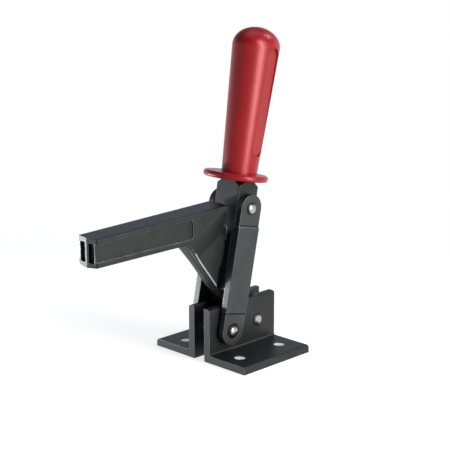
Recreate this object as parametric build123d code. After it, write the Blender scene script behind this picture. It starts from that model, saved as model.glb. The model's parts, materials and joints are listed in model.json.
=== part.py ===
from build123d import *
import os
from math import acos, atan, atan2, cos, degrees, radians, sin, sqrt, tan

# Vertical hold-down toggle clamp in its closed position, in millimetres.
# +Z is up, the arm reaches towards -X, and the clamp is symmetric about Y = 0.
# The origin is the centre of the four bolt holes, on the mounting plane.
# "Near" is the -Y side and "far" is the +Y side.

# ---- Linkage: distances between the four pivots, seen along Y ----
pivot_spacing = 35.0        # foot pivot to arm pivot, both on the base
pivot_height = 23.5         # both base pivots above the mounting plane
link_length = 97.5          # foot pivot to handle pivot
arm_lever = 48.2            # arm pivot to toggle pivot
ear_length = 55.0           # handle pivot to toggle pivot
over_centre = 1.2           # toggle pivot past the dead centre when closed

# ---- Pins and bushes ----
pin_radius = 4.5
running_clearance = 0.05    # radial, pin in bush
bush_wall = 2.0
rivet_radius = 5.0
rivet_rim = 0.4
outer_rivet_height = 2.2    # on the links' outer faces
inner_rivet_height = 1.3    # on faces that the links sweep over
slide_gap = 0.1             # flat face beside a turning face

# ---- Base: two steel angles, back to back with a gap for the arm ----
base_length = 74.0
base_wall = 6.0
base_gap = 11.0
base_height = 43.5
flange_reach = 49.5         # outer edge of a flange from the centre plane
bolt_pitch_x = 45.0
bolt_pitch_y = 61.0
bolt_hole_radius = 4.5      # clearance hole for M8
root_fillet = 1.4
toe_round = 2.2
spacer_radius = 9.2

# ---- Links ----
link_thickness = 5.0
link_end_radius = 11.0
washer_thickness = 1.6
washer_radius = 9.0
shank_step = 0.7            # thickened middle, proud of the eyes
shank_extra = 0.5           # thickened middle, wider on each side
shank_start = 14.5          # from either pivot to the square shoulder
shank_round = 0.5

# ---- Handle forging ----
ear_width = 21.7            # across the handle, seen along Y
ear_outer = 11.3            # outer face of an ear from the centre plane
ear_end_margin = 10.85      # square ear end past the toggle pivot
neck_half = 12.4            # side face of the neck from the centre plane
neck_drop = 12.0            # shoulder of the neck below the handle pivot
fork_floor = 15.0           # top of the fork's slot below the handle pivot
neck_height = 21.0          # top of the neck above the handle pivot
neck_cone_radius = 11.6     # turned top of the neck
neck_cone_drop = 5.0
corner_round = 0.9
tang_radius = 7.0
tang_length = 88.0
tang_chamfer = 1.5

# ---- Grip, moulded on the tang ----
guard_radius = 25.5
guard_thickness = 5.0
guard_forward = 3.6         # guard centre ahead of the grip's axis
grip_length = 119.0         # guard underside to top of dome
grip_base_x = 31.0
grip_base_y = 25.0
grip_fat_x = 42.0
grip_fat_y = 33.0
dome_height = 15.0
pocket_depth = 1.8
pocket_width = 14.5
pocket_back = 5.2           # its centre line behind the grip's axis
pocket_start = 14.0         # above the guard's top face
pocket_length = 85.0

# ---- Arm forging ----
arm_width = 21.0            # along Y
draft = 6.0                 # degrees each side of the parting plane
bar_rise = 33.7             # parting line of the bar's underside above the toggle pivot
nose_depth = 22.4           # underside to the flat top, at the nose
heel_depth = 25.3           # and at the heel
nose_reach = 130.0          # parting line of the nose ahead of the foot pivot
heel_reach = 6.0            # rear top corner behind the foot pivot
heel_round = 3.0
facet_reach = 36.0          # lower end of the slanted facet
facet_width = 15.0          # across the facet, down to the leg's face
leg_width = 15.0
knee_reach = 38.0           # start of the leg's front edge
knee_round = 5.0
leg_heel_rise = 35.7        # lower rear end of the facet above the toggle pivot
leg_front_margin = 2.0      # the leg's front edge ahead of its lower eye
web_clearance = 0.3         # web to each base plate and each ear
arm_eye_radius = 11.0
toggle_eye_radius = 12.5
ear_recess_clearance = 2.6
bar_round = 1.0
leg_round = 2.0
panel_depth = 1.6
panel_end = 35.0            # rear end of the side panel ahead of the foot pivot
panel_low = 5.0             # above the bar's underside
panel_high = 4.0            # below the bar's top
panel_corner = 3.0
nose_pocket_depth = 4.0
nose_web = 3.4
nose_wall = 1.2
nose_rim = 3.9

# ---- Places worked out from the sizes above ----
foot = (-pivot_spacing / 2, pivot_height)
arm_pivot = (pivot_spacing / 2, pivot_height)

# Closed, the toggle pivot lies just past the line from the foot pivot to the handle pivot.
toggle_along = link_length - sqrt(ear_length**2 - over_centre**2)
toggle_reach = sqrt(toggle_along**2 + over_centre**2)
lever_triangle = pivot_spacing**2 + toggle_reach**2 - arm_lever**2
toggle_angle = acos(lever_triangle / (2 * pivot_spacing * toggle_reach))
link_angle = toggle_angle + atan2(over_centre, toggle_along)
handle_pivot = (foot[0] + link_length * cos(link_angle), foot[1] + link_length * sin(link_angle))
toggle = (foot[0] + toggle_reach * cos(toggle_angle), foot[1] + toggle_reach * sin(toggle_angle))
link_lean = 90 - degrees(link_angle)
handle_lean = degrees(atan2(handle_pivot[0] - toggle[0], handle_pivot[1] - toggle[1]))
bar_underside = toggle[1] - foot[1] + bar_rise
leg_heel_height = toggle[1] - foot[1] + leg_heel_rise

plate_inner = base_gap / 2
plate_outer = plate_inner + base_wall
link_inner = plate_outer + washer_thickness + slide_gap
link_outer = link_inner + link_thickness
head_washer_thickness = link_inner - slide_gap - neck_half
bush_bore = pin_radius + running_clearance
bush_radius = bush_bore + bush_wall
web_half = plate_inner - web_clearance
ear_low = -ear_length - ear_end_margin
ear_corner_reach = sqrt((ear_width / 2) ** 2 + ear_end_margin**2)
top_stock = arm_width / 2 * tan(radians(draft)) + 0.5
through = 4 * arm_width     # long enough to cut through everything


def at(place, y=0.0):
    return Pos(place[0], y, place[1])


def rod(place, radius, y_from, y_to):
    # A round bar along Y.
    return at(place, (y_from + y_to) / 2) * Rot(90, 0, 0) * Cylinder(radius, abs(y_to - y_from))


def ring(place, outer, inner, y_from, y_to):
    return rod(place, outer, y_from, y_to) - rod(place, inner, y_from, y_to)


def upright_box(size_x, size_y, z_from, z_to):
    standing = (Align.CENTER, Align.CENTER, Align.MIN)
    return Pos(0, 0, z_from) * Box(size_x, size_y, z_to - z_from, align=standing)


def upright_cylinder(radius, z_from, z_to):
    standing = (Align.CENTER, Align.CENTER, Align.MIN)
    return Pos(0, 0, z_from) * Cylinder(radius, z_to - z_from, align=standing)


def mirrored(shape):
    return mirror(shape, about=Plane.XZ)


# ---- Pins, bushes, washers ----
def rivet_head(place, y_face, height):
    # A low dome on a thin rim. It stands on the face at y_face, away from the centre plane.
    rise = height - rivet_rim
    ball = (rivet_radius**2 + rise**2) / (2 * rise)
    profile = Plane.XZ * make_face(
        [
            Line((0, 0), (rivet_radius, 0)),
            Line((rivet_radius, 0), (rivet_radius, rivet_rim)),
            RadiusArc((rivet_radius, rivet_rim), (0, height), -ball),
            Line((0, height), (0, 0)),
        ]
    )
    turn = 90 if y_face < 0 else -90
    return at(place, y_face) * Rot(turn, 0, 0) * revolve(profile, Axis.Z)


def riveted_pin(place, half_length, head_height):
    pin = rod(place, pin_radius, -half_length, half_length)
    pin += rivet_head(place, -half_length, head_height)
    return pin + rivet_head(place, half_length, head_height)


def near_arm_pin():
    # The arm pivot is the linkage's open joint, so its pin ends flush inside the plate.
    stub = rod(arm_pivot, pin_radius, -plate_outer, -plate_inner)
    return stub + rivet_head(arm_pivot, -plate_outer, inner_rivet_height)


# ---- Base ----
def near_bracket():
    # An upright plate and a flange that reaches towards -Y.
    section = Plane.YZ * make_face(
        Polyline(
            (-plate_inner, 0),
            (-plate_inner, base_height),
            (-plate_outer, base_height),
            (-plate_outer, base_wall),
            (-flange_reach, base_wall),
            (-flange_reach, 0),
            close=True,
        )
    )
    body = Pos(-base_length / 2, 0, 0) * extrude(section, base_length)
    lengthwise = body.edges().filter_by(Axis.X).group_by(Axis.Z)
    root = lengthwise[1].sort_by(Axis.Y)[-1]
    toe = lengthwise[1].sort_by(Axis.Y)[0]
    crest = lengthwise[2].sort_by(Axis.Y)[0]
    body = fillet(root, root_fillet)
    body = fillet([body.edges().sort_by_distance(edge @ 0.5)[0] for edge in (toe, crest)], toe_round)
    for x in (-bolt_pitch_x / 2, bolt_pitch_x / 2):
        body -= Pos(x, -bolt_pitch_y / 2, base_wall / 2) * Cylinder(bolt_hole_radius, 2 * base_wall)
    for place in (foot, arm_pivot):
        body -= rod(place, pin_radius, -plate_outer - 1, -plate_inner + 1)
    return body


# ---- Links ----
def near_link():
    # Drawn upright with its foot pivot at the origin, then leaned over.
    eyes = Circle(link_end_radius) + Pos(0, link_length) * Circle(link_end_radius)
    strap = Pos(0, link_length / 2) * Rectangle(2 * link_end_radius, link_length)
    body = Pos(0, -link_inner, 0) * extrude(Plane.XZ * (eyes + strap), link_thickness)
    shank = Pos(0, -link_inner, link_length / 2) * Box(
        2 * (link_end_radius + shank_extra),
        link_thickness + shank_step,
        link_length - 2 * shank_start,
        align=(Align.CENTER, Align.MAX, Align.CENTER),
    )
    body += shank
    shank_face = body.faces().filter_by(Axis.Y).sort_by(Axis.Y)[0]
    body = fillet(shank_face.edges(), shank_round)
    body -= rod((0, 0), bush_radius, -through, 0)
    body -= rod((0, link_length), pin_radius, -through, 0)
    return at(foot) * Rot(0, link_lean, 0) * body


# ---- Handle ----
def handle_frame():
    # The handle is drawn upright about its own pivot, then leaned over and put in place.
    return at(handle_pivot) * Rot(0, handle_lean, 0)


def handle():
    neck = upright_box(ear_width, 2 * neck_half, -neck_drop, neck_height)
    ears = upright_box(ear_width, 2 * ear_outer, ear_low, -neck_drop)
    body = neck + ears
    body = fillet(body.edges().filter_by(Axis.Z), corner_round)
    # The neck's top is turned, so a cone cuts its four corners away.
    widest = neck_cone_radius + neck_cone_drop
    turned = Pos(0, 0, neck_height - neck_cone_drop) * Cone(
        widest, neck_cone_radius, neck_cone_drop, align=(Align.CENTER, Align.CENTER, Align.MIN)
    )
    body &= turned + upright_cylinder(widest, ear_low, neck_height - neck_cone_drop)
    slot_end = -fork_floor - plate_inner
    body -= upright_box(2 * ear_width, base_gap, ear_low - 1, slot_end)
    body -= Pos(0, 0, slot_end) * Rot(0, 90, 0) * Cylinder(plate_inner, 2 * ear_width)
    body += upright_cylinder(tang_radius, neck_height, neck_height + tang_length)
    body = chamfer(body.faces().sort_by(Axis.Z)[-1].edges(), tang_chamfer)
    body -= rod((0, 0), bush_radius, -through, through)
    body -= rod((0, -ear_length), pin_radius, -through, through)
    return handle_frame() * body


# ---- Grip ----
def oval(width_x, width_y, height):
    return Pos(0, 0, height) * Ellipse(width_x / 2, width_y / 2)


def grip():
    guard_top = neck_height + guard_thickness
    shoulder = neck_height + grip_length - dome_height
    guard = Pos(-guard_forward, 0, 0) * upright_cylinder(guard_radius, neck_height, guard_top)
    guard = fillet(guard.edges(), 0.42 * guard_thickness)
    shaft = loft([oval(grip_base_x, grip_base_y, guard_top - 1), oval(grip_fat_x, grip_fat_y, shoulder)])
    rings = []
    for rise in (0.0, 0.3, 0.56, 0.77, 0.91, 0.98):
        shrink = sqrt(1 - rise**2)
        rings.append(oval(grip_fat_x * shrink, grip_fat_y * shrink, shoulder + dome_height * rise))
    rings.append(oval(grip_fat_x * 0.06, grip_fat_y * 0.06, shoulder + dome_height))
    body = guard + shaft + loft(rings)
    # A long round-ended pocket on each side, with a floor that lies along the grip's surface.
    taper = atan((grip_fat_y - grip_base_y) / 2 / (shoulder - guard_top))
    middle = guard_top + pocket_start + pocket_length / 2
    rise_share = (middle - guard_top) / (shoulder - guard_top)
    half_x = (grip_base_x + (grip_fat_x - grip_base_x) * rise_share) / 2
    half_y = (grip_base_y + (grip_fat_y - grip_base_y) * rise_share) / 2
    surface = half_y * sqrt(1 - (pocket_back / half_x) ** 2)
    turn = atan2(pocket_back / half_x**2, surface / half_y**2)
    facing = Pos(pocket_back, -surface, middle) * Rot(degrees(taper), 0, degrees(turn))
    slot = Plane.XZ * Rot(0, 0, 90) * SlotOverall(pocket_length, pocket_width)
    pocket = facing * Pos(0, pocket_depth, 0) * extrude(slot, grip_fat_y)
    body -= pocket
    body -= mirrored(pocket)
    body -= upright_cylinder(tang_radius, neck_height - 1, neck_height + tang_length)
    return handle_frame() * body


# ---- Arm ----
def arm_point(ahead, above):
    # A point of the arm's outline: distance ahead of the foot pivot, height above the pivots.
    return (foot[0] - ahead, foot[1] + above)


def front_tangent(place, centre, radius):
    # Where a line from place touches the front lower side of a circle.
    reach = sqrt((centre[0] - place[0]) ** 2 + (centre[1] - place[1]) ** 2)
    slope = atan2(centre[1] - place[1], centre[0] - place[0])
    turn = slope + acos(radius / reach) + radians(180)
    return (centre[0] + radius * cos(turn), centre[1] + radius * sin(turn))


def drafted(outline, half_width):
    # A forged half: the outline on the parting plane, drawn in by the draft towards its side.
    return extrude(Plane.XZ * outline, half_width, taper=draft)


def arm_half_blank():
    # One forged half of the bar and leg, from the parting plane to its side faces.
    knee = arm_point(knee_reach, bar_underside)
    nose_top = arm_point(nose_reach, bar_underside + nose_depth)
    heel = arm_point(-heel_reach, bar_underside + heel_depth)
    heel_foot = arm_point(0, leg_heel_height)
    front_end = front_tangent(knee, arm_pivot, arm_eye_radius + leg_front_margin)
    outline = make_face(
        Polyline(
            knee,
            arm_point(nose_reach, bar_underside),
            (nose_top[0], nose_top[1] + top_stock),
            (heel[0], heel[1] + top_stock),
            heel_foot,
            toggle,
            front_end,
            close=True,
        )
    )
    outline = fillet(outline.vertices().sort_by_distance(knee)[0], knee_round)
    blank = drafted(outline, arm_width / 2)
    # The top is flat across, so the draft's ridge is cut off along the line from nose to heel.
    slope_up = degrees(atan2(heel[1] - nose_top[1], heel[0] - nose_top[0]))
    blank -= at(nose_top) * Rot(0, -slope_up, 0) * Box(
        2 * through + 2 * nose_reach, through, through, align=(Align.CENTER, Align.CENTER, Align.MIN)
    )
    heel_edge = blank.edges().sort_by_distance((heel[0], -arm_width / 4, heel[1])).first
    blank = fillet(heel_edge, heel_round)
    side = blank.faces().sort_by(Axis.Y)[0]
    blank = fillet(side.edges(), bar_round)
    # Below a line from the knee to the heel the side face slopes in to the leg's face.
    start = arm_point(facet_reach, bar_underside)
    rise = atan2(heel[1] - start[1], heel[0] - start[0])
    slope = atan2((arm_width - leg_width) / 2, facet_width)
    tilted = at(start, -arm_width / 2) * Rot(0, -degrees(rise), 0) * Rot(degrees(slope), 0, 0)
    blank -= tilted * Box(through, through, 2 * through, align=(Align.CENTER, Align.MAX, Align.MAX))

    leg_outline = make_face(
        Polyline(
            knee,
            arm_point(knee_reach, bar_underside + heel_depth / 3),
            arm_point(-heel_reach / 2, bar_underside + 0.75 * heel_depth),
            heel_foot,
            toggle,
            front_end,
            close=True,
        )
    )
    leg = drafted(leg_outline, leg_width / 2)
    leg_side = leg.faces().sort_by(Axis.Y)[0]
    leg_front = leg_side.edges().sort_by_distance((knee[0], -leg_width / 2, base_height)).first
    return blank + fillet(leg_front, leg_round)


def arm_web():
    # The thin part of the leg runs tangent round both of its eyes.
    rear_end = arm_point(bar_round, leg_heel_height + leg_round)
    top_edge = Line(arm_point(knee_reach, bar_underside), rear_end)
    toggle_eye = CenterArc(toggle, toggle_eye_radius, 0, 360)
    pivot_eye = CenterArc(arm_pivot, arm_eye_radius, 0, 360)
    outline = make_hull([*top_edge.edges(), *toggle_eye.edges(), *pivot_eye.edges()])
    return extrude(Plane.XZ * outline, web_half)


def arm():
    # The thick part of the leg stays in front of the ears and above the base.
    recess = rod(toggle, ear_corner_reach + ear_recess_clearance, -through, through)
    ears_side = ear_width / 2 + ear_recess_clearance
    behind = handle_frame() * Pos(-ears_side, 0, 0) * Box(
        through, through, 3 * ear_length, align=(Align.MIN, Align.CENTER, Align.CENTER)
    )
    below = Pos(0, 0, base_height + 2 * web_clearance) * Box(
        4 * base_length, through, base_height, align=(Align.CENTER, Align.CENTER, Align.MAX)
    )
    half = arm_half_blank() - recess - behind - below + arm_web()
    # A shallow panel in the bar's side, open at the nose.
    panel_bottom = bar_underside + panel_low
    panel_top = bar_underside + nose_depth - panel_high
    panel_rise = (heel_depth - nose_depth) * (nose_reach - panel_end) / (nose_reach + heel_reach)
    panel = make_face(
        Polyline(
            arm_point(nose_reach + 5, panel_bottom),
            arm_point(nose_reach + 5, panel_top),
            arm_point(nose_reach, panel_top),
            arm_point(panel_end, panel_top + panel_rise),
            arm_point(panel_end, panel_bottom),
            close=True,
        )
    )
    panel = fillet(panel.vertices().sort_by(Axis.X)[-2:], panel_corner)
    half -= Pos(0, -arm_width / 2 + panel_depth, 0) * extrude(Plane.XZ * panel, arm_width)
    # A pocket in the nose, with a web left on the centre plane.
    pocket_inner = nose_web / 2
    pocket_outer = arm_width / 2 - panel_depth - nose_wall
    pocket_low = foot[1] + bar_underside + nose_rim
    pocket_high = foot[1] + bar_underside + nose_depth - nose_rim
    half -= Pos(foot[0] - nose_reach, -pocket_inner, pocket_low) * Box(
        2 * nose_pocket_depth,
        pocket_outer - pocket_inner,
        pocket_high - pocket_low,
        align=(Align.CENTER, Align.MAX, Align.MIN),
    )
    body = half + mirrored(half)
    for place in (toggle, arm_pivot):
        body -= rod(place, bush_radius, -through, through)
    return body


def foot_washer():
    return ring(foot, washer_radius, pin_radius, -plate_outer - washer_thickness, -plate_outer)


def foot_bush():
    return ring(foot, bush_radius, bush_bore, -link_outer, -link_inner)


def head_washer():
    return ring(handle_pivot, washer_radius, bush_bore, -neck_half - head_washer_thickness, -neck_half)


pieces = {
    "foot_spacer": ring(foot, spacer_radius, pin_radius, -plate_inner, plate_inner),
    "foot_pin": riveted_pin(foot, link_outer + slide_gap, outer_rivet_height),
    "handle_pin": riveted_pin(handle_pivot, link_outer, outer_rivet_height),
    "toggle_pin": riveted_pin(toggle, ear_outer, inner_rivet_height),
    "handle": handle(),
    "handle_bush": ring(handle_pivot, bush_radius, bush_bore, -neck_half, neck_half),
    "grip": grip(),
    "arm": arm(),
    "arm_bush": ring(arm_pivot, bush_radius, bush_bore, -web_half, web_half),
    "toggle_bush": ring(toggle, bush_radius, bush_bore, -web_half, web_half),
}
paired = {
    "bracket": near_bracket(),
    "arm_pin": near_arm_pin(),
    "foot_washer": foot_washer(),
    "foot_bush": foot_bush(),
    "link": near_link(),
    "head_washer": head_washer(),
}
for name, shape in paired.items():
    pieces[f"near_{name}"] = shape
    pieces[f"far_{name}"] = mirrored(shape)

os.makedirs("parts", exist_ok=True)
for name, shape in pieces.items():
    export_step(shape, f"parts/{name}.step")
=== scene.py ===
import bpy
import json
import math
from mathutils import Matrix, Vector


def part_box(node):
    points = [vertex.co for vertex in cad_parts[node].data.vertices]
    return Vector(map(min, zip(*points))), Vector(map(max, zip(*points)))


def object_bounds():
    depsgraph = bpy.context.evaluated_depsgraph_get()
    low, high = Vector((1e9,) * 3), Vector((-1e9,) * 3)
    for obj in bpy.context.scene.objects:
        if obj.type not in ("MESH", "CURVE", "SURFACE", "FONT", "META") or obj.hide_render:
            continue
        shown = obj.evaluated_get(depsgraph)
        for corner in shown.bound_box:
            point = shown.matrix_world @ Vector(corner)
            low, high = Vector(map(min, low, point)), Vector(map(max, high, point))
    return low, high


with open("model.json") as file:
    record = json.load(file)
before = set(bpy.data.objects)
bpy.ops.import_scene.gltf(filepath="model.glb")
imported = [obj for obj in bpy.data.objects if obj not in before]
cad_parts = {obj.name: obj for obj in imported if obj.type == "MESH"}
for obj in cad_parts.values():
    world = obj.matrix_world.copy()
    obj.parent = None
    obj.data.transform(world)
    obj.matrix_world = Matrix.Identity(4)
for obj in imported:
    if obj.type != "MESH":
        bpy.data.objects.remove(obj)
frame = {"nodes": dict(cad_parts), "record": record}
cadLow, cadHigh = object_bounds()
mm = 0.001
print("frame loaded:", len(frame["nodes"]), "nodes")


def toLinear(hexColour):
    # sRGB to linear: c / 12.92 near black, ((c + 0.055) / 1.055) ^ 2.4 above it
    parts = [int(hexColour[i:i + 2], 16) / 255 for i in (1, 3, 5)]
    linear = [c / 12.92 if c <= 0.04045 else ((c + 0.055) / 1.055) ** 2.4 for c in parts]
    return (*linear, 1.0)


def addNode(tree, kind, settings=None, links=None):
    # a key that is a socket's name or number sets that socket, any other key sets the node itself
    node = tree.nodes.new("ShaderNode" + kind)
    for key, value in (settings or {}).items():
        if isinstance(key, int) or key in node.inputs:
            node.inputs[key].default_value = value
        else:
            setattr(node, key, value)
    for key, source in (links or {}).items():
        tree.links.new(source, node.inputs[key])
    return node


def newMaterial(name):
    material = bpy.data.materials.new(name)
    material.use_nodes = True
    tree = material.node_tree
    tree.nodes.clear()
    place = addNode(tree, "TexCoord").outputs["Object"]
    return material, tree, place


def perMetre(sizeInMm):
    # a noise texture's scale is one over the size of its grains
    return 1 / (sizeInMm * mm)


# most of a noise texture lies between these two values, so its Map Range takes them as the ends
noiseSpan = {"From Min": 0.35, "From Max": 0.65}


def middleOf(pin):
    # the middle of a pin's box is on the pin's axis
    low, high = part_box(pin)
    return (low + high) / 2


# shared by the dark steels: an edge is lightened, part wear and part painted highlight, as
# (rounded normal . face normal) falls from edgeFrom to edgeTo, and where the clouds are darkest
# only edgeLeast of that is left
steelLook = {"cloudDetail": 4.0, "grainDetail": 3.0, "bumpStrength": 0.6, "edgeSamples": 6,
             "edgeFrom": 0.99, "edgeTo": 0.84, "edgeLeast": 0.4, "wearAndHighlight": "#a4a9a9"}
plateFinish = {"dark": "#2d3030", "light": "#343737", "metallic": 0.75, "roughLow": 0.36,
               "roughHigh": 0.46, "cloudMm": 14.0, "grainMm": 0.7, "bumpMm": 0.010,
               "edgeMm": 0.6, "wearAndHighlightLevel": 0.8}
linkFinish = {"dark": "#3d4141", "light": "#444949", "metallic": 0.75, "roughLow": 0.32,
              "roughHigh": 0.42, "cloudMm": 16.0, "grainMm": 0.6, "bumpMm": 0.007,
              "edgeMm": 0.6, "wearAndHighlightLevel": 0.8}
forgedFinish = {"dark": "#282b2b", "light": "#2f3232", "metallic": 0.7, "roughLow": 0.38,
                "roughHigh": 0.50, "cloudMm": 8.0, "grainMm": 0.55, "bumpMm": 0.018,
                "edgeMm": 0.6, "wearAndHighlightLevel": 0.8}
bushFinish = {"dark": "#141516", "light": "#1f2122", "metallic": 0.8, "roughLow": 0.35,
              "roughHigh": 0.5, "cloudMm": 3.0, "grainMm": 0.4, "bumpMm": 0.004,
              "edgeMm": 0.15, "wearAndHighlightLevel": 0.3}


def darkSteel(name, finish, marks=()):
    # phosphated steel: dull and dark, faintly clouded, with a fine crystal grain; real crystals are
    # too fine to show, so grainMm draws them as coarse as they need to be
    material, tree, place = newMaterial(name)
    cloud = addNode(tree, "TexNoise",
                    {"Scale": perMetre(finish["cloudMm"]), "Detail": steelLook["cloudDetail"]},
                    {"Vector": place}).outputs["Fac"]
    grain = addNode(tree, "TexNoise",
                    {"Scale": perMetre(finish["grainMm"]), "Detail": steelLook["grainDetail"]},
                    {"Vector": place}).outputs["Fac"]
    clouded = addNode(tree, "MapRange", noiseSpan, {"Value": cloud}).outputs["Result"]
    rough = addNode(tree, "MapRange",
                    {**noiseSpan, "To Min": finish["roughLow"], "To Max": finish["roughHigh"]},
                    {"Value": grain}).outputs["Result"]
    patches = addNode(tree, "MapRange", {**noiseSpan, "To Min": steelLook["edgeLeast"]},
                      {"Value": cloud}).outputs["Result"]
    colour = addNode(tree, "Mix", {"data_type": "RGBA", 6: toLinear(finish["dark"]),
                                   7: toLinear(finish["light"])}, {0: clouded}).outputs[2]
    for mark in marks:
        mask, tone = mark(tree, place)
        colour = addNode(tree, "Mix", {"data_type": "RGBA", 7: toLinear(tone)},
                         {0: mask, 6: colour}).outputs[2]
    # edges are lightened, part wear and part painted highlight: rounded normal . face normal, times
    # the clouds
    edge = addNode(tree, "Bevel", {"samples": steelLook["edgeSamples"],
                                   "Radius": finish["edgeMm"] * mm}).outputs["Normal"]
    face = addNode(tree, "NewGeometry").outputs["Normal"]
    agree = addNode(tree, "VectorMath", {"operation": "DOT_PRODUCT"},
                    {0: edge, 1: face}).outputs["Value"]
    wearAndHighlight = addNode(tree, "MapRange", {"From Min": steelLook["edgeFrom"],
                                      "From Max": steelLook["edgeTo"], "To Max": finish["wearAndHighlightLevel"]},
                   {"Value": agree}).outputs["Result"]
    patchyWearAndHighlight = addNode(tree, "Math", {"operation": "MULTIPLY"}, {0: wearAndHighlight, 1: patches}).outputs[0]
    colour = addNode(tree, "Mix", {"data_type": "RGBA", 7: toLinear(steelLook["wearAndHighlight"])},
                     {0: patchyWearAndHighlight, 6: colour}).outputs[2]
    bump = addNode(tree, "Bump",
                   {"Strength": steelLook["bumpStrength"], "Distance": finish["bumpMm"] * mm},
                   {"Height": grain, "Normal": edge})
    shader = addNode(tree, "BsdfPrincipled", {"Metallic": finish["metallic"]},
                     {"Base Color": colour, "Roughness": rough, "Normal": bump.outputs[0]})
    addNode(tree, "OutputMaterial", links={"Surface": shader.outputs[0]})
    return material


# the angle stock is sawn to length and its ends are painted paler, part sawn finish and part
# painted light from the low lamp on the left: |normal x| from facingFrom to facingTo
sawnAndPaintedLitEnd = {"facingFrom": 0.90, "facingTo": 0.98, "tone": "#424646"}


def sawnAndPaintedLitEnds(tree, place):
    normal = addNode(tree, "TexCoord").outputs["Normal"]
    along = addNode(tree, "SeparateXYZ", links={0: normal}).outputs["X"]
    facing = addNode(tree, "Math", {"operation": "ABSOLUTE"}, {0: along}).outputs[0]
    mask = addNode(tree, "MapRange", {"From Min": sawnAndPaintedLitEnd["facingFrom"],
                                      "From Max": sawnAndPaintedLitEnd["facingTo"]}, {"Value": facing})
    return mask.outputs["Result"], sawnAndPaintedLitEnd["tone"]


# the flange's bolt holes are drilled through the finish, and their lower walls are painted near
# white as a painted highlight: their places from the middle of the base, how far from its axis a
# bare wall may be, and the height that it stays under, in metres
boltHole = {"x": 0.0225, "y": 0.0305, "reach": 0.0047, "under": 0.0052, "tone": "#f2f3f3"}


def bareHoleWallsPaintedHighlight(tree, place):
    # length of (|x| - hole x, |y| - hole y), the four holes folded into one
    folded = addNode(tree, "VectorMath", {"operation": "ABSOLUTE"}, {0: place}).outputs[0]
    fromAxis = addNode(tree, "VectorMath",
                       {"operation": "MULTIPLY_ADD", 1: (1, 1, 0),
                        2: (-boltHole["x"], -boltHole["y"], 0)}, {0: folded}).outputs[0]
    away = addNode(tree, "VectorMath", {"operation": "LENGTH"}, {0: fromAxis}).outputs["Value"]
    close = addNode(tree, "Math", {"operation": "LESS_THAN", 1: boltHole["reach"]},
                    {0: away}).outputs[0]
    height = addNode(tree, "SeparateXYZ", links={0: place}).outputs["Z"]
    under = addNode(tree, "Math", {"operation": "LESS_THAN", 1: boltHole["under"]},
                    {0: height}).outputs[0]
    mask = addNode(tree, "Math", {"operation": "MULTIPLY"}, {0: close, 1: under})
    return mask.outputs[0], boltHole["tone"]


# the links' square shoulders, by metres from the link's middle: painted shade in the inner
# corner and a painted highlight on the outer edge
shoulderPaintedShade = {"at": 0.03485, "half": 0.00060, "tone": "#121414"}
shoulderPaintedHighlight = {"at": 0.03395, "half": 0.00030, "tone": "#626767"}


def shoulderLine(line):
    # a band across both ends of a link: | |p . axis - middle| - at | < half
    def mark(tree, place):
        foot, head = middleOf("foot_pin"), middleOf("handle_pin")
        axis = Vector((head.x - foot.x, 0, head.z - foot.z)).normalized()
        along = addNode(tree, "VectorMath", {"operation": "DOT_PRODUCT", 1: axis},
                        {0: place}).outputs["Value"]
        offset = addNode(tree, "Math", {"operation": "SUBTRACT", 1: axis.dot(foot + head) / 2},
                         {0: along}).outputs[0]
        fromMiddle = addNode(tree, "Math", {"operation": "ABSOLUTE"}, {0: offset}).outputs[0]
        mask = addNode(tree, "Math", {"operation": "COMPARE", 1: line["at"], 2: line["half"]},
                       {0: fromMiddle})
        return mask.outputs[0], line["tone"]
    return mark


# a painted highlight down the front corner of the arm's leg: the line p . across = at in the XZ
# plane, over the heights middle - halfSpan to middle + halfSpan, in metres
legHighlight = {"across": (0.797, 0.0, 0.604), "at": 0.01655, "halfWidth": 0.00030, "soft": 0.00025,
             "middle": 0.0745, "halfSpan": 0.0155, "fade": 0.0015, "tone": "#c6caca"}


def paintedLegHighlight(tree, place):
    # how near to the line, times how near to its middle height: each 1 inside, 0 past the soft edge
    across = addNode(tree, "VectorMath", {"operation": "DOT_PRODUCT", 1: legHighlight["across"]},
                     {0: place}).outputs["Value"]
    height = addNode(tree, "SeparateXYZ", links={0: place}).outputs["Z"]
    near = []
    for value, middle, half, soft in ((across, "at", "halfWidth", "soft"),
                                      (height, "middle", "halfSpan", "fade")):
        offset = addNode(tree, "Math", {"operation": "SUBTRACT", 1: legHighlight[middle]},
                         {0: value}).outputs[0]
        away = addNode(tree, "Math", {"operation": "ABSOLUTE"}, {0: offset}).outputs[0]
        near.append(addNode(tree, "MapRange",
                            {"From Min": legHighlight[half],
                             "From Max": legHighlight[half] + legHighlight[soft],
                             "To Min": 1.0, "To Max": 0.0}, {"Value": away}).outputs["Result"])
    mask = addNode(tree, "Math", {"operation": "MULTIPLY"}, {0: near[0], 1: near[1]})
    return mask.outputs[0], legHighlight["tone"]


pinFinish = {"colour": "#b4b1a9", "rim": "#34332f", "roughness": 0.16, "rimRoughness": 0.42,
             "brightMm": 2.8, "darkMm": 4.0, "marksMm": 0.25, "marksDetail": 2.0,
             "bumpMm": 0.002, "bumpStrength": 0.4,
             "pins": ("foot_pin", "handle_pin", "toggle_pin", "near_arm_pin")}


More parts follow.
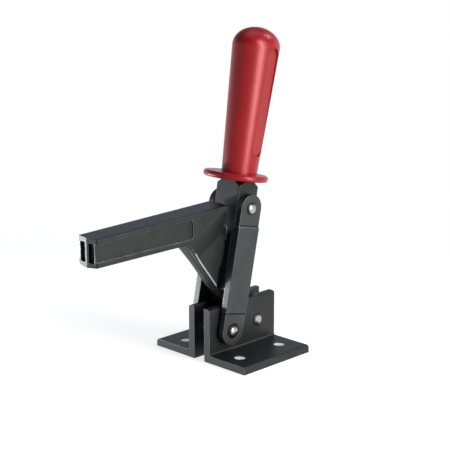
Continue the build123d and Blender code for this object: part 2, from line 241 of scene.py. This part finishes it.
def polishedSteel():
    # turned rivet steel: domed heads polished bright, with a painted shade ring darkening their
    # rims, and marks of the polish that marksMm draws coarser than real ones, so that they show
    material, tree, place = newMaterial("polishedRivetSteel")
    # the painted shade rim by distance from the nearest of the axes, all parallel to Y, with one
    # pin for each
    flat = addNode(tree, "VectorMath", {"operation": "MULTIPLY", 1: (1, 0, 1)},
                   {0: place}).outputs[0]
    nearest = None
    for pin in pinFinish["pins"]:
        middle = middleOf(pin)
        away = addNode(tree, "VectorMath", {"operation": "DISTANCE", 1: (middle.x, 0, middle.z)},
                       {0: flat}).outputs["Value"]
        nearest = away if nearest is None else addNode(
            tree, "Math", {"operation": "MINIMUM"}, {0: nearest, 1: away}).outputs[0]
    rim = addNode(tree, "MapRange", {"From Min": pinFinish["brightMm"] * mm,
                                     "From Max": pinFinish["darkMm"] * mm},
                  {"Value": nearest}).outputs["Result"]
    colour = addNode(tree, "Mix", {"data_type": "RGBA", 6: toLinear(pinFinish["colour"]),
                                   7: toLinear(pinFinish["rim"])}, {0: rim}).outputs[2]
    rough = addNode(tree, "MapRange", {"To Min": pinFinish["roughness"],
                                       "To Max": pinFinish["rimRoughness"]}, {"Value": rim})
    marks = addNode(tree, "TexNoise", {"Scale": perMetre(pinFinish["marksMm"]),
                                       "Detail": pinFinish["marksDetail"]}, {"Vector": place})
    bump = addNode(tree, "Bump", {"Strength": pinFinish["bumpStrength"],
                                  "Distance": pinFinish["bumpMm"] * mm},
                   {"Height": marks.outputs["Fac"]})
    shader = addNode(tree, "BsdfPrincipled", {"Metallic": 1.0},
                     {"Base Color": colour, "Roughness": rough.outputs["Result"],
                      "Normal": bump.outputs[0]})
    addNode(tree, "OutputMaterial", links={"Surface": shader.outputs[0]})
    return material


spacerFinish = {"colour": "#d9d9d6", "metallic": 0.6, "roughness": 0.30, "ringMm": 2.2,
                "bumpMm": 0.004, "bumpStrength": 0.4}


def turnedSteel():
    # bright turned steel, with rings from the lathe round its Y axis; real ones are some tenths of
    # a millimetre apart, too fine to show, so ringMm draws them coarser
    material, tree, place = newMaterial("turnedSpacerSteel")
    # a wave texture's bands repeat every 2 pi / (20 x scale)
    rings = addNode(tree, "TexWave", {"bands_direction": "Y",
                                      "Scale": math.tau / 20 * perMetre(spacerFinish["ringMm"])},
                    {"Vector": place})
    bump = addNode(tree, "Bump", {"Strength": spacerFinish["bumpStrength"],
                                  "Distance": spacerFinish["bumpMm"] * mm},
                   {"Height": rings.outputs["Fac"]})
    shader = addNode(tree, "BsdfPrincipled", {"Base Color": toLinear(spacerFinish["colour"]),
                                              "Metallic": spacerFinish["metallic"],
                                              "Roughness": spacerFinish["roughness"]},
                     {"Normal": bump.outputs[0]})
    addNode(tree, "OutputMaterial", links={"Surface": shader.outputs[0]})
    return material


gripFinish = {"dark": "#880c13", "light": "#910e16", "roughness": 0.33, "ior": 1.5, "level": 0.7,
              "tint": "#ffb4b4", "cloudMm": 30.0, "grainMm": 0.45, "detail": 2.0,
              "bumpMm": 0.004, "bumpStrength": 0.3}


def mouldedRed():
    # injection-moulded PVC: an even red with a soft gloss, and a faint mould texture that grainMm
    # draws coarser than the real one, so that it shows
    material, tree, place = newMaterial("mouldedRedPlastic")
    cloud = addNode(tree, "TexNoise", {"Scale": perMetre(gripFinish["cloudMm"]),
                                       "Detail": gripFinish["detail"]}, {"Vector": place})
    grain = addNode(tree, "TexNoise", {"Scale": perMetre(gripFinish["grainMm"]),
                                       "Detail": gripFinish["detail"]}, {"Vector": place})
    clouded = addNode(tree, "MapRange", noiseSpan, {"Value": cloud.outputs["Fac"]}).outputs[0]
    colour = addNode(tree, "Mix", {"data_type": "RGBA", 6: toLinear(gripFinish["dark"]),
                                   7: toLinear(gripFinish["light"])}, {0: clouded}).outputs[2]
    bump = addNode(tree, "Bump", {"Strength": gripFinish["bumpStrength"],
                                  "Distance": gripFinish["bumpMm"] * mm},
                   {"Height": grain.outputs["Fac"]})
    shader = addNode(tree, "BsdfPrincipled", {"Roughness": gripFinish["roughness"],
                                              "IOR": gripFinish["ior"],
                                              "Specular IOR Level": gripFinish["level"],
                                              "Specular Tint": toLinear(gripFinish["tint"])},
                     {"Base Color": colour, "Normal": bump.outputs[0]})
    addNode(tree, "OutputMaterial", links={"Surface": shader.outputs[0]})
    return material


finishes = {
    "plate_steel": darkSteel("phosphatedPlate", plateFinish, (sawnAndPaintedLitEnds, bareHoleWallsPaintedHighlight)),
    "link_steel": darkSteel("phosphatedLink", linkFinish,
                            (shoulderLine(shoulderPaintedShade), shoulderLine(shoulderPaintedHighlight))),
    "forged_steel": darkSteel("phosphatedForging", forgedFinish, (paintedLegHighlight,)),
    "bush_steel": darkSteel("blackenedBush", bushFinish),
    "pin_steel": polishedSteel(),
    "grip_plastic": mouldedRed(),
}
# the distance bush between the plates is left bright from turning, unlike the blackened bushes
ownFinish = {"foot_spacer": turnedSteel()}

for part in frame["record"]["subparts"]:
    finish = ownFinish.get(part["node"]) or finishes[part["material_slot"]]
    for slot in frame["nodes"][part["node"]].material_slots:
        slot.material = finish
print("finishes on", len(frame["nodes"]), "nodes")


# distances in metres from the origin, heights in the sky as the sine of the elevation
stageLook = {"floorReach": 9.0, "floorColour": "#b4b6b8", "floorGlow": 0.74,
             "fadeFrom": 0.12, "fadeTo": 0.50, "worldColour": "#c9d2dc", "worldLevel": 0.18,
             "tintFrom": 0.04, "skyFrom": 0.22, "skyTo": 0.42, "skyTop": 0.25,
             "skyColour": "#d3e2f8"}


def seenRays(tree, path):
    # 1 for camera, glossy and transmission rays, so what it drives lights nothing
    seen = addNode(tree, "Math", {"operation": "MAXIMUM"},
                   {0: path["Is Camera Ray"], 1: path["Is Glossy Ray"]}).outputs[0]
    return addNode(tree, "Math", {"operation": "MAXIMUM"},
                   {0: seen, 1: path["Is Transmission Ray"]}).outputs[0]


def makeFloor():
    reach = stageLook["floorReach"]
    corners = [(x, y, cadLow.z) for x, y in
               ((-reach, -reach), (reach, -reach), (reach, reach), (-reach, reach))]
    mesh = bpy.data.meshes.new("floor")
    mesh.from_pydata(corners, [], [(0, 1, 2, 3)])
    floor = bpy.data.objects.new("floor", mesh)
    bpy.context.collection.objects.link(floor)
    # matt board, with no shine
    material, tree, place = newMaterial("paleFloor")
    seen = seenRays(tree, addNode(tree, "LightPath").outputs)
    # away from the object the floor turns to plain white: fade is 0 near it and 1 beyond fadeTo,
    # where its own colour has gone to black and the glow alone is left
    away = addNode(tree, "VectorMath", {"operation": "LENGTH"}, {0: place}).outputs["Value"]
    fade = addNode(tree, "MapRange", {"interpolation_type": "SMOOTHSTEP",
                                      "From Min": stageLook["fadeFrom"],
                                      "From Max": stageLook["fadeTo"]},
                   {"Value": away}).outputs["Result"]
    level = addNode(tree, "MapRange", {"To Min": stageLook["floorGlow"]},
                    {"Value": fade}).outputs["Result"]
    glow = addNode(tree, "Math", {"operation": "MULTIPLY"}, {0: seen, 1: level}).outputs[0]
    plain = addNode(tree, "Math", {"operation": "MULTIPLY"}, {0: seen, 1: fade}).outputs[0]
    colour = addNode(tree, "Mix", {"data_type": "RGBA", 6: toLinear(stageLook["floorColour"]),
                                   7: toLinear("#000000")}, {0: plain}).outputs[2]
    shader = addNode(tree, "BsdfPrincipled", {"Roughness": 1.0, "Specular IOR Level": 0.0,
                                              "Emission Color": toLinear("#ffffff")},
                     {"Base Color": colour, "Emission Strength": glow})
    addNode(tree, "OutputMaterial", links={"Surface": shader.outputs[0]})
    mesh.materials.append(material)


def makeWorld():
    world = bpy.data.worlds.new("studio")
    world.use_nodes = True
    tree = world.node_tree
    tree.nodes.clear()
    path = addNode(tree, "LightPath").outputs
    seen = seenRays(tree, path)
    ambient = addNode(tree, "Background", {"Color": toLinear(stageLook["worldColour"]),
                                           "Strength": stageLook["worldLevel"]})
    # reflections find white at the horizon, cooler above it and darker overhead, as under a
    # studio's dark ceiling, and the camera itself sees plain white at every height
    direction = addNode(tree, "TexCoord").outputs["Generated"]
    height = addNode(tree, "SeparateXYZ", links={0: direction}).outputs["Z"]
    strength = addNode(tree, "MapRange", {"interpolation_type": "SMOOTHSTEP",
                                          "From Min": stageLook["skyFrom"],
                                          "From Max": stageLook["skyTo"],
                                          "To Min": 1.0, "To Max": stageLook["skyTop"]},
                       {"Value": height}).outputs["Result"]
    cool = addNode(tree, "MapRange", {"From Min": stageLook["tintFrom"],
                                      "From Max": stageLook["skyFrom"]},
                   {"Value": height}).outputs["Result"]
    tint = addNode(tree, "Mix", {"data_type": "RGBA", 6: toLinear("#ffffff"),
                                 7: toLinear(stageLook["skyColour"])}, {0: cool}).outputs[2]
    sky = addNode(tree, "Background", links={"Color": tint, "Strength": strength})
    white = addNode(tree, "Background", {"Color": toLinear("#ffffff"), "Strength": 1.0})
    shown = addNode(tree, "MixShader",
                    links={0: path["Is Camera Ray"], 1: sky.outputs[0], 2: white.outputs[0]})
    mix = addNode(tree, "MixShader", links={0: seen, 1: ambient.outputs[0], 2: shown.outputs[0]})
    addNode(tree, "OutputWorld", links={"Surface": mix.outputs[0]})
    bpy.context.scene.world = world


# place, aim and size in metres: a low strip on the camera's left, a tall key on its right, a small
# high lamp behind on the right that catches the edges, and a wide cool one overhead
lamps = {
    "lowStrip": {"place": (-0.215, 0.34, 0.024), "aim": (-0.02, 0.0, 0.08), "size": (0.20, 0.04),
                 "watts": 1.3, "colour": "#ffffff"},
    "rightKey": {"place": (0.10, -0.69, 0.37), "aim": (0.0, 0.0, 0.30), "size": (0.24, 0.72),
                 "watts": 8.0, "colour": "#fffaf5"},
    "edge": {"place": (0.89, -0.30, 0.97), "aim": (0.0, 0.0, 0.08), "size": (0.3, 0.3),
             "watts": 2.4, "colour": "#ffffff"},
    "top": {"place": (0.13, 0.0, 1.43), "aim": (0.0, 0.0, 0.13), "size": (1.0, 1.0),
            "watts": 3.0, "colour": "#e6eeff"},
}


def makeLamps():
    for name, lamp in lamps.items():
        light = bpy.data.lights.new(name, "AREA")
        light.shape = "RECTANGLE"
        light.size, light.size_y = lamp["size"]
        light.energy = lamp["watts"]
        light.color = toLinear(lamp["colour"])[:3]
        holder = bpy.data.objects.new(name, light)
        holder.location = lamp["place"]
        holder.rotation_mode = "QUATERNION"
        towards = Vector(lamp["aim"]) - holder.location
        holder.rotation_quaternion = towards.to_track_quat("-Z", "Y")
        holder.visible_camera = False
        bpy.context.collection.objects.link(holder)


makeFloor()
makeWorld()
makeLamps()
print("stage and lamps made")


# place in metres, angles in degrees, lens and sensor in mm
cameraSet = {"place": (-0.7288, -0.7193, 0.3651), "yaw": 44.94, "pitch": 14.35, "roll": -0.16,
             "lens": 107.2, "sensor": 36.0}


def makeCamera():
    # yaw turns from +X towards +Y, pitch looks down, roll turns about the view line
    yaw, pitch, roll = (math.radians(cameraSet[angle]) for angle in ("yaw", "pitch", "roll"))
    ahead = Vector((math.cos(pitch) * math.cos(yaw), math.cos(pitch) * math.sin(yaw),
                    -math.sin(pitch)))
    data = bpy.data.cameras.new("camera")
    data.sensor_width = cameraSet["sensor"]
    data.lens = cameraSet["lens"]
    camera = bpy.data.objects.new("camera", data)
    upright = ahead.to_track_quat("-Z", "Y").to_matrix().to_4x4()
    turned = upright @ Matrix.Rotation(roll, 4, "Z")
    camera.matrix_world = Matrix.Translation(cameraSet["place"]) @ turned
    bpy.context.collection.objects.link(camera)
    bpy.context.scene.camera = camera


makeCamera()
bpy.context.scene.view_settings.view_transform = "Standard"
print("camera made")
